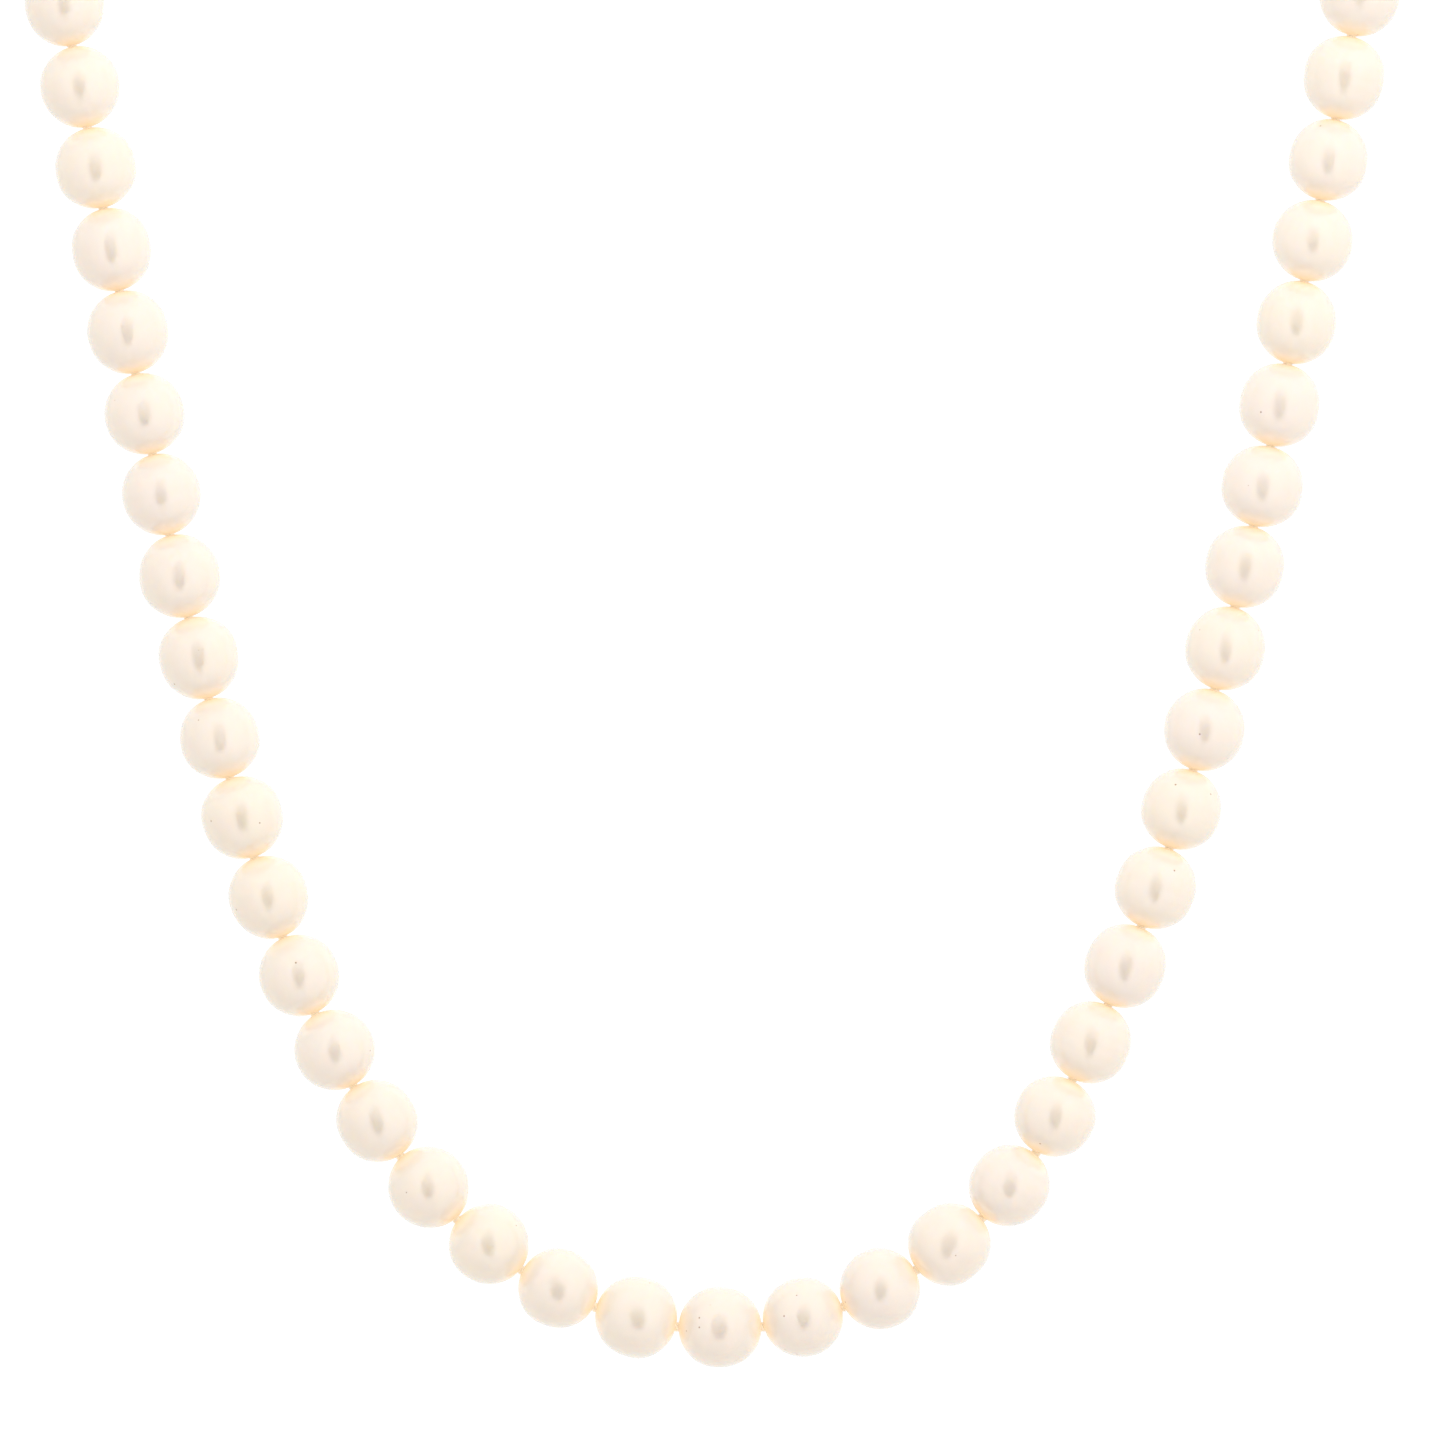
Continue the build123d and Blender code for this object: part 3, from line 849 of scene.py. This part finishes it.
def tumbled(node, finish, rounding):
    """A copy of a casting with its edges rounded."""
    work = bmesh.new()
    work.from_mesh(frame["nodes"][node].data)
    bmesh.ops.remove_doubles(work, verts=work.verts, dist=WELD)
    bmesh.ops.dissolve_limit(
        work, angle_limit=FLAT, verts=work.verts, edges=work.edges, use_dissolve_boundaries=False
    )
    mesh = bpy.data.meshes.new(node)
    work.to_mesh(mesh)
    work.free()
    mesh.materials.clear()
    mesh.materials.append(finish)
    holder = piece_of("holder", mesh)
    bevel = holder.modifiers.new("tumbling", "BEVEL")
    bevel.width = rounding
    bevel.segments = 2
    bevel.limit_method = "ANGLE"
    bevel.angle_limit = EDGE
    seen = holder.evaluated_get(bpy.context.evaluated_depsgraph_get())
    rounded = bpy.data.meshes.new_from_object(seen)
    bpy.data.objects.remove(holder)
    bpy.data.meshes.remove(mesh)
    return rounded


for node, body, rounding in (
    ("clasp_body", "clasp", TUMBLED), ("clasp_lever", "lever", TUMBLED * 0.8),
    ("lever_pin", "clasp", TUMBLED * 0.7), ("clasp_tab", "tab", TUMBLED * 1.6),
):
    casting = tumbled(node, gold, rounding)
    made = finish_piece(f"gold_{node}", casting, body, "gold", node)
    casting.set_sharp_from_angle(angle=CREASE)
    print(made.name, len(casting.polygons), "faces")

# %% [markdown]
# The lever is pushed shut by a small steel spring, wound about the pin in a recess of the lever.

# %% Wind the lever's spring
SPRING_FOOT = 0.13 * MM  # the middle of the first turn, over the middle of the clasp
pin_up = Vector(hinges["lever_press"]["axis"]).normalized()
pin = place("lever_press")
clasp_ahead = place("clasp_swing") - pin
clasp_ahead -= pin_up * clasp_ahead.dot(pin_up)
spring = run_tree(spring_tree, spring_steel)
spring.transform(axes_at(pin + pin_up * SPRING_FOOT, clasp_ahead, pin_up))
finish_piece("steel_lever_spring", spring, "clasp", "spring_steel", "lever_spring")
print("the spring is in")

# %% [markdown]
# ## The room
#
# A tent of white cloth lights pearls softly: bright cloth all round and a table lit from below, so
# that nothing dark is mirrored in them. The cloth has one opening, a slit overhead that is dark
# behind, and every pearl mirrors it as a small dark streak. The tent could be a sewn mesh, but it
# is the same from everywhere on the table, so it is the world's own colour: white, with the slit
# as a dark oval at the top that fades out away from the front. One soft lamp adds the brighter
# light on the far side. It is hidden from mirror-like rays, so no bright square shows in a pearl.

# %% Table, tent and lamp
FRAME_WIDTH = 131.8 * MM
FRAME_AHEAD = 55.15 * MM  # from the front pearl to the middle of the view
FRAME_ASIDE = 0.23 * MM
CAMERA_HEIGHT = 1.6
TABLE_SIZE = 3.0
TABLE_GREY = 0.14  # how much of the light from above the lit table adds to its own
TABLE_GLOW = 0.93
SLIT_WIDTH = 0.34  # the slit's sizes are as seen from the table, over the height
SLIT_LENGTH = 0.80
SLIT_CENTRE = 0.02
SLIT_EDGE = (0.4, 1.3)  # the slit softens out between these shares of its size
SLIT_DARK = (0.02, 0.02, 0.02)
FADE_AHEAD = (-0.35, 0.75)  # the slit fades between these places along it
FADE_MOST = 0.7
LOWEST = 0.02  # keeps the formula from dividing by nothing at the horizon
ZENITH_LIGHT = (1.14, 1.14, 1.13)
HORIZON_LIGHT = (1.12, 1.12, 1.10)


def lit_table(name, cloth, glow):
    """A white cloth that is lit from below as well, so no shadow falls on it."""
    material, tree, shader = new_material(name)
    set_all(
        shader, Roughness=0.7, Specular_IOR_Level=0.1,
        Emission_Color=(*cloth, 1), Emission_Strength=glow,
    )
    shader.inputs["Base Color"].default_value = (*(TABLE_GREY * part for part in cloth), 1)
    return material


def flat_sheet(name, corners, material):
    mesh = bpy.data.meshes.new(name)
    mesh.from_pydata(corners, [], [tuple(range(len(corners)))])
    mesh.materials.append(material)
    piece_of(name, mesh)


edge = TABLE_SIZE / 2
flat_sheet(
    "table", [(-edge, -edge, 0), (edge, -edge, 0), (edge, edge, 0), (-edge, edge, 0)],
    lit_table("white table", (1.0, 1.0, 0.99), TABLE_GLOW),
)

low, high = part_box("pearl_front")
middle = (low + high) / 2
aim = Vector((middle.x + FRAME_ASIDE, middle.y + FRAME_AHEAD, middle.z))

world = bpy.data.worlds.new("white tent")
bpy.context.scene.world = world
world.use_nodes = True
tree = world.node_tree
tent = tree.nodes["Background"]
looking = out(tree, node_of(tree, "ShaderNodeTexCoord"), "Generated")
way = node_of(tree, "ShaderNodeSeparateXYZ", {0: looking})
rise = out(tree, way, "Z").math("MAXIMUM", LOWEST)
aside = out(tree, way, "X") / rise / SLIT_WIDTH
ahead = (out(tree, way, "Y") / rise - SLIT_CENTRE) / SLIT_LENGTH
away = (aside * aside + ahead * ahead).math("SQRT")
cloth = between(tree, out(tree, way, "Z").math("MAXIMUM", 0.0), HORIZON_LIGHT, ZENITH_LIGHT)
fading = ramp(tree, out(tree, way, "Y") / rise, *FADE_AHEAD) * FADE_MOST
open_cloth = ramp(tree, away, *SLIT_EDGE).math("MAXIMUM", fading)
plug(tree, between(tree, open_cloth, SLIT_DARK, cloth), tent.inputs["Color"])

LAMP_AT = Vector((0.12, 0.28, 0.45))  # from the middle of the view, with its height over the table
LAMP_SIZE = (0.6, 0.4)
LAMP_WATTS = 2.4

lamp = bpy.data.lights.new("top softbox", "AREA")
lamp.shape = "RECTANGLE"
lamp.size, lamp.size_y = LAMP_SIZE
lamp.energy = LAMP_WATTS
softbox = bpy.data.objects.new("top softbox", lamp)
bpy.context.scene.collection.objects.link(softbox)
softbox.visible_glossy = False
softbox.location = (aim.x + LAMP_AT.x, aim.y + LAMP_AT.y, LAMP_AT.z)
softbox.rotation_euler = (aim - softbox.location).to_track_quat("-Z", "Y").to_euler()

camera = bpy.data.objects.new("camera", bpy.data.cameras.new("camera"))
bpy.context.scene.collection.objects.link(camera)
camera.location = aim + UP * CAMERA_HEIGHT
camera.data.lens = camera.data.sensor_width * CAMERA_HEIGHT / FRAME_WIDTH
camera.data.clip_start, camera.data.clip_end = 0.01, 10
bpy.context.scene.camera = camera
bpy.context.scene.view_settings.view_transform = "Standard"
print("lens, mm:", round(camera.data.lens))
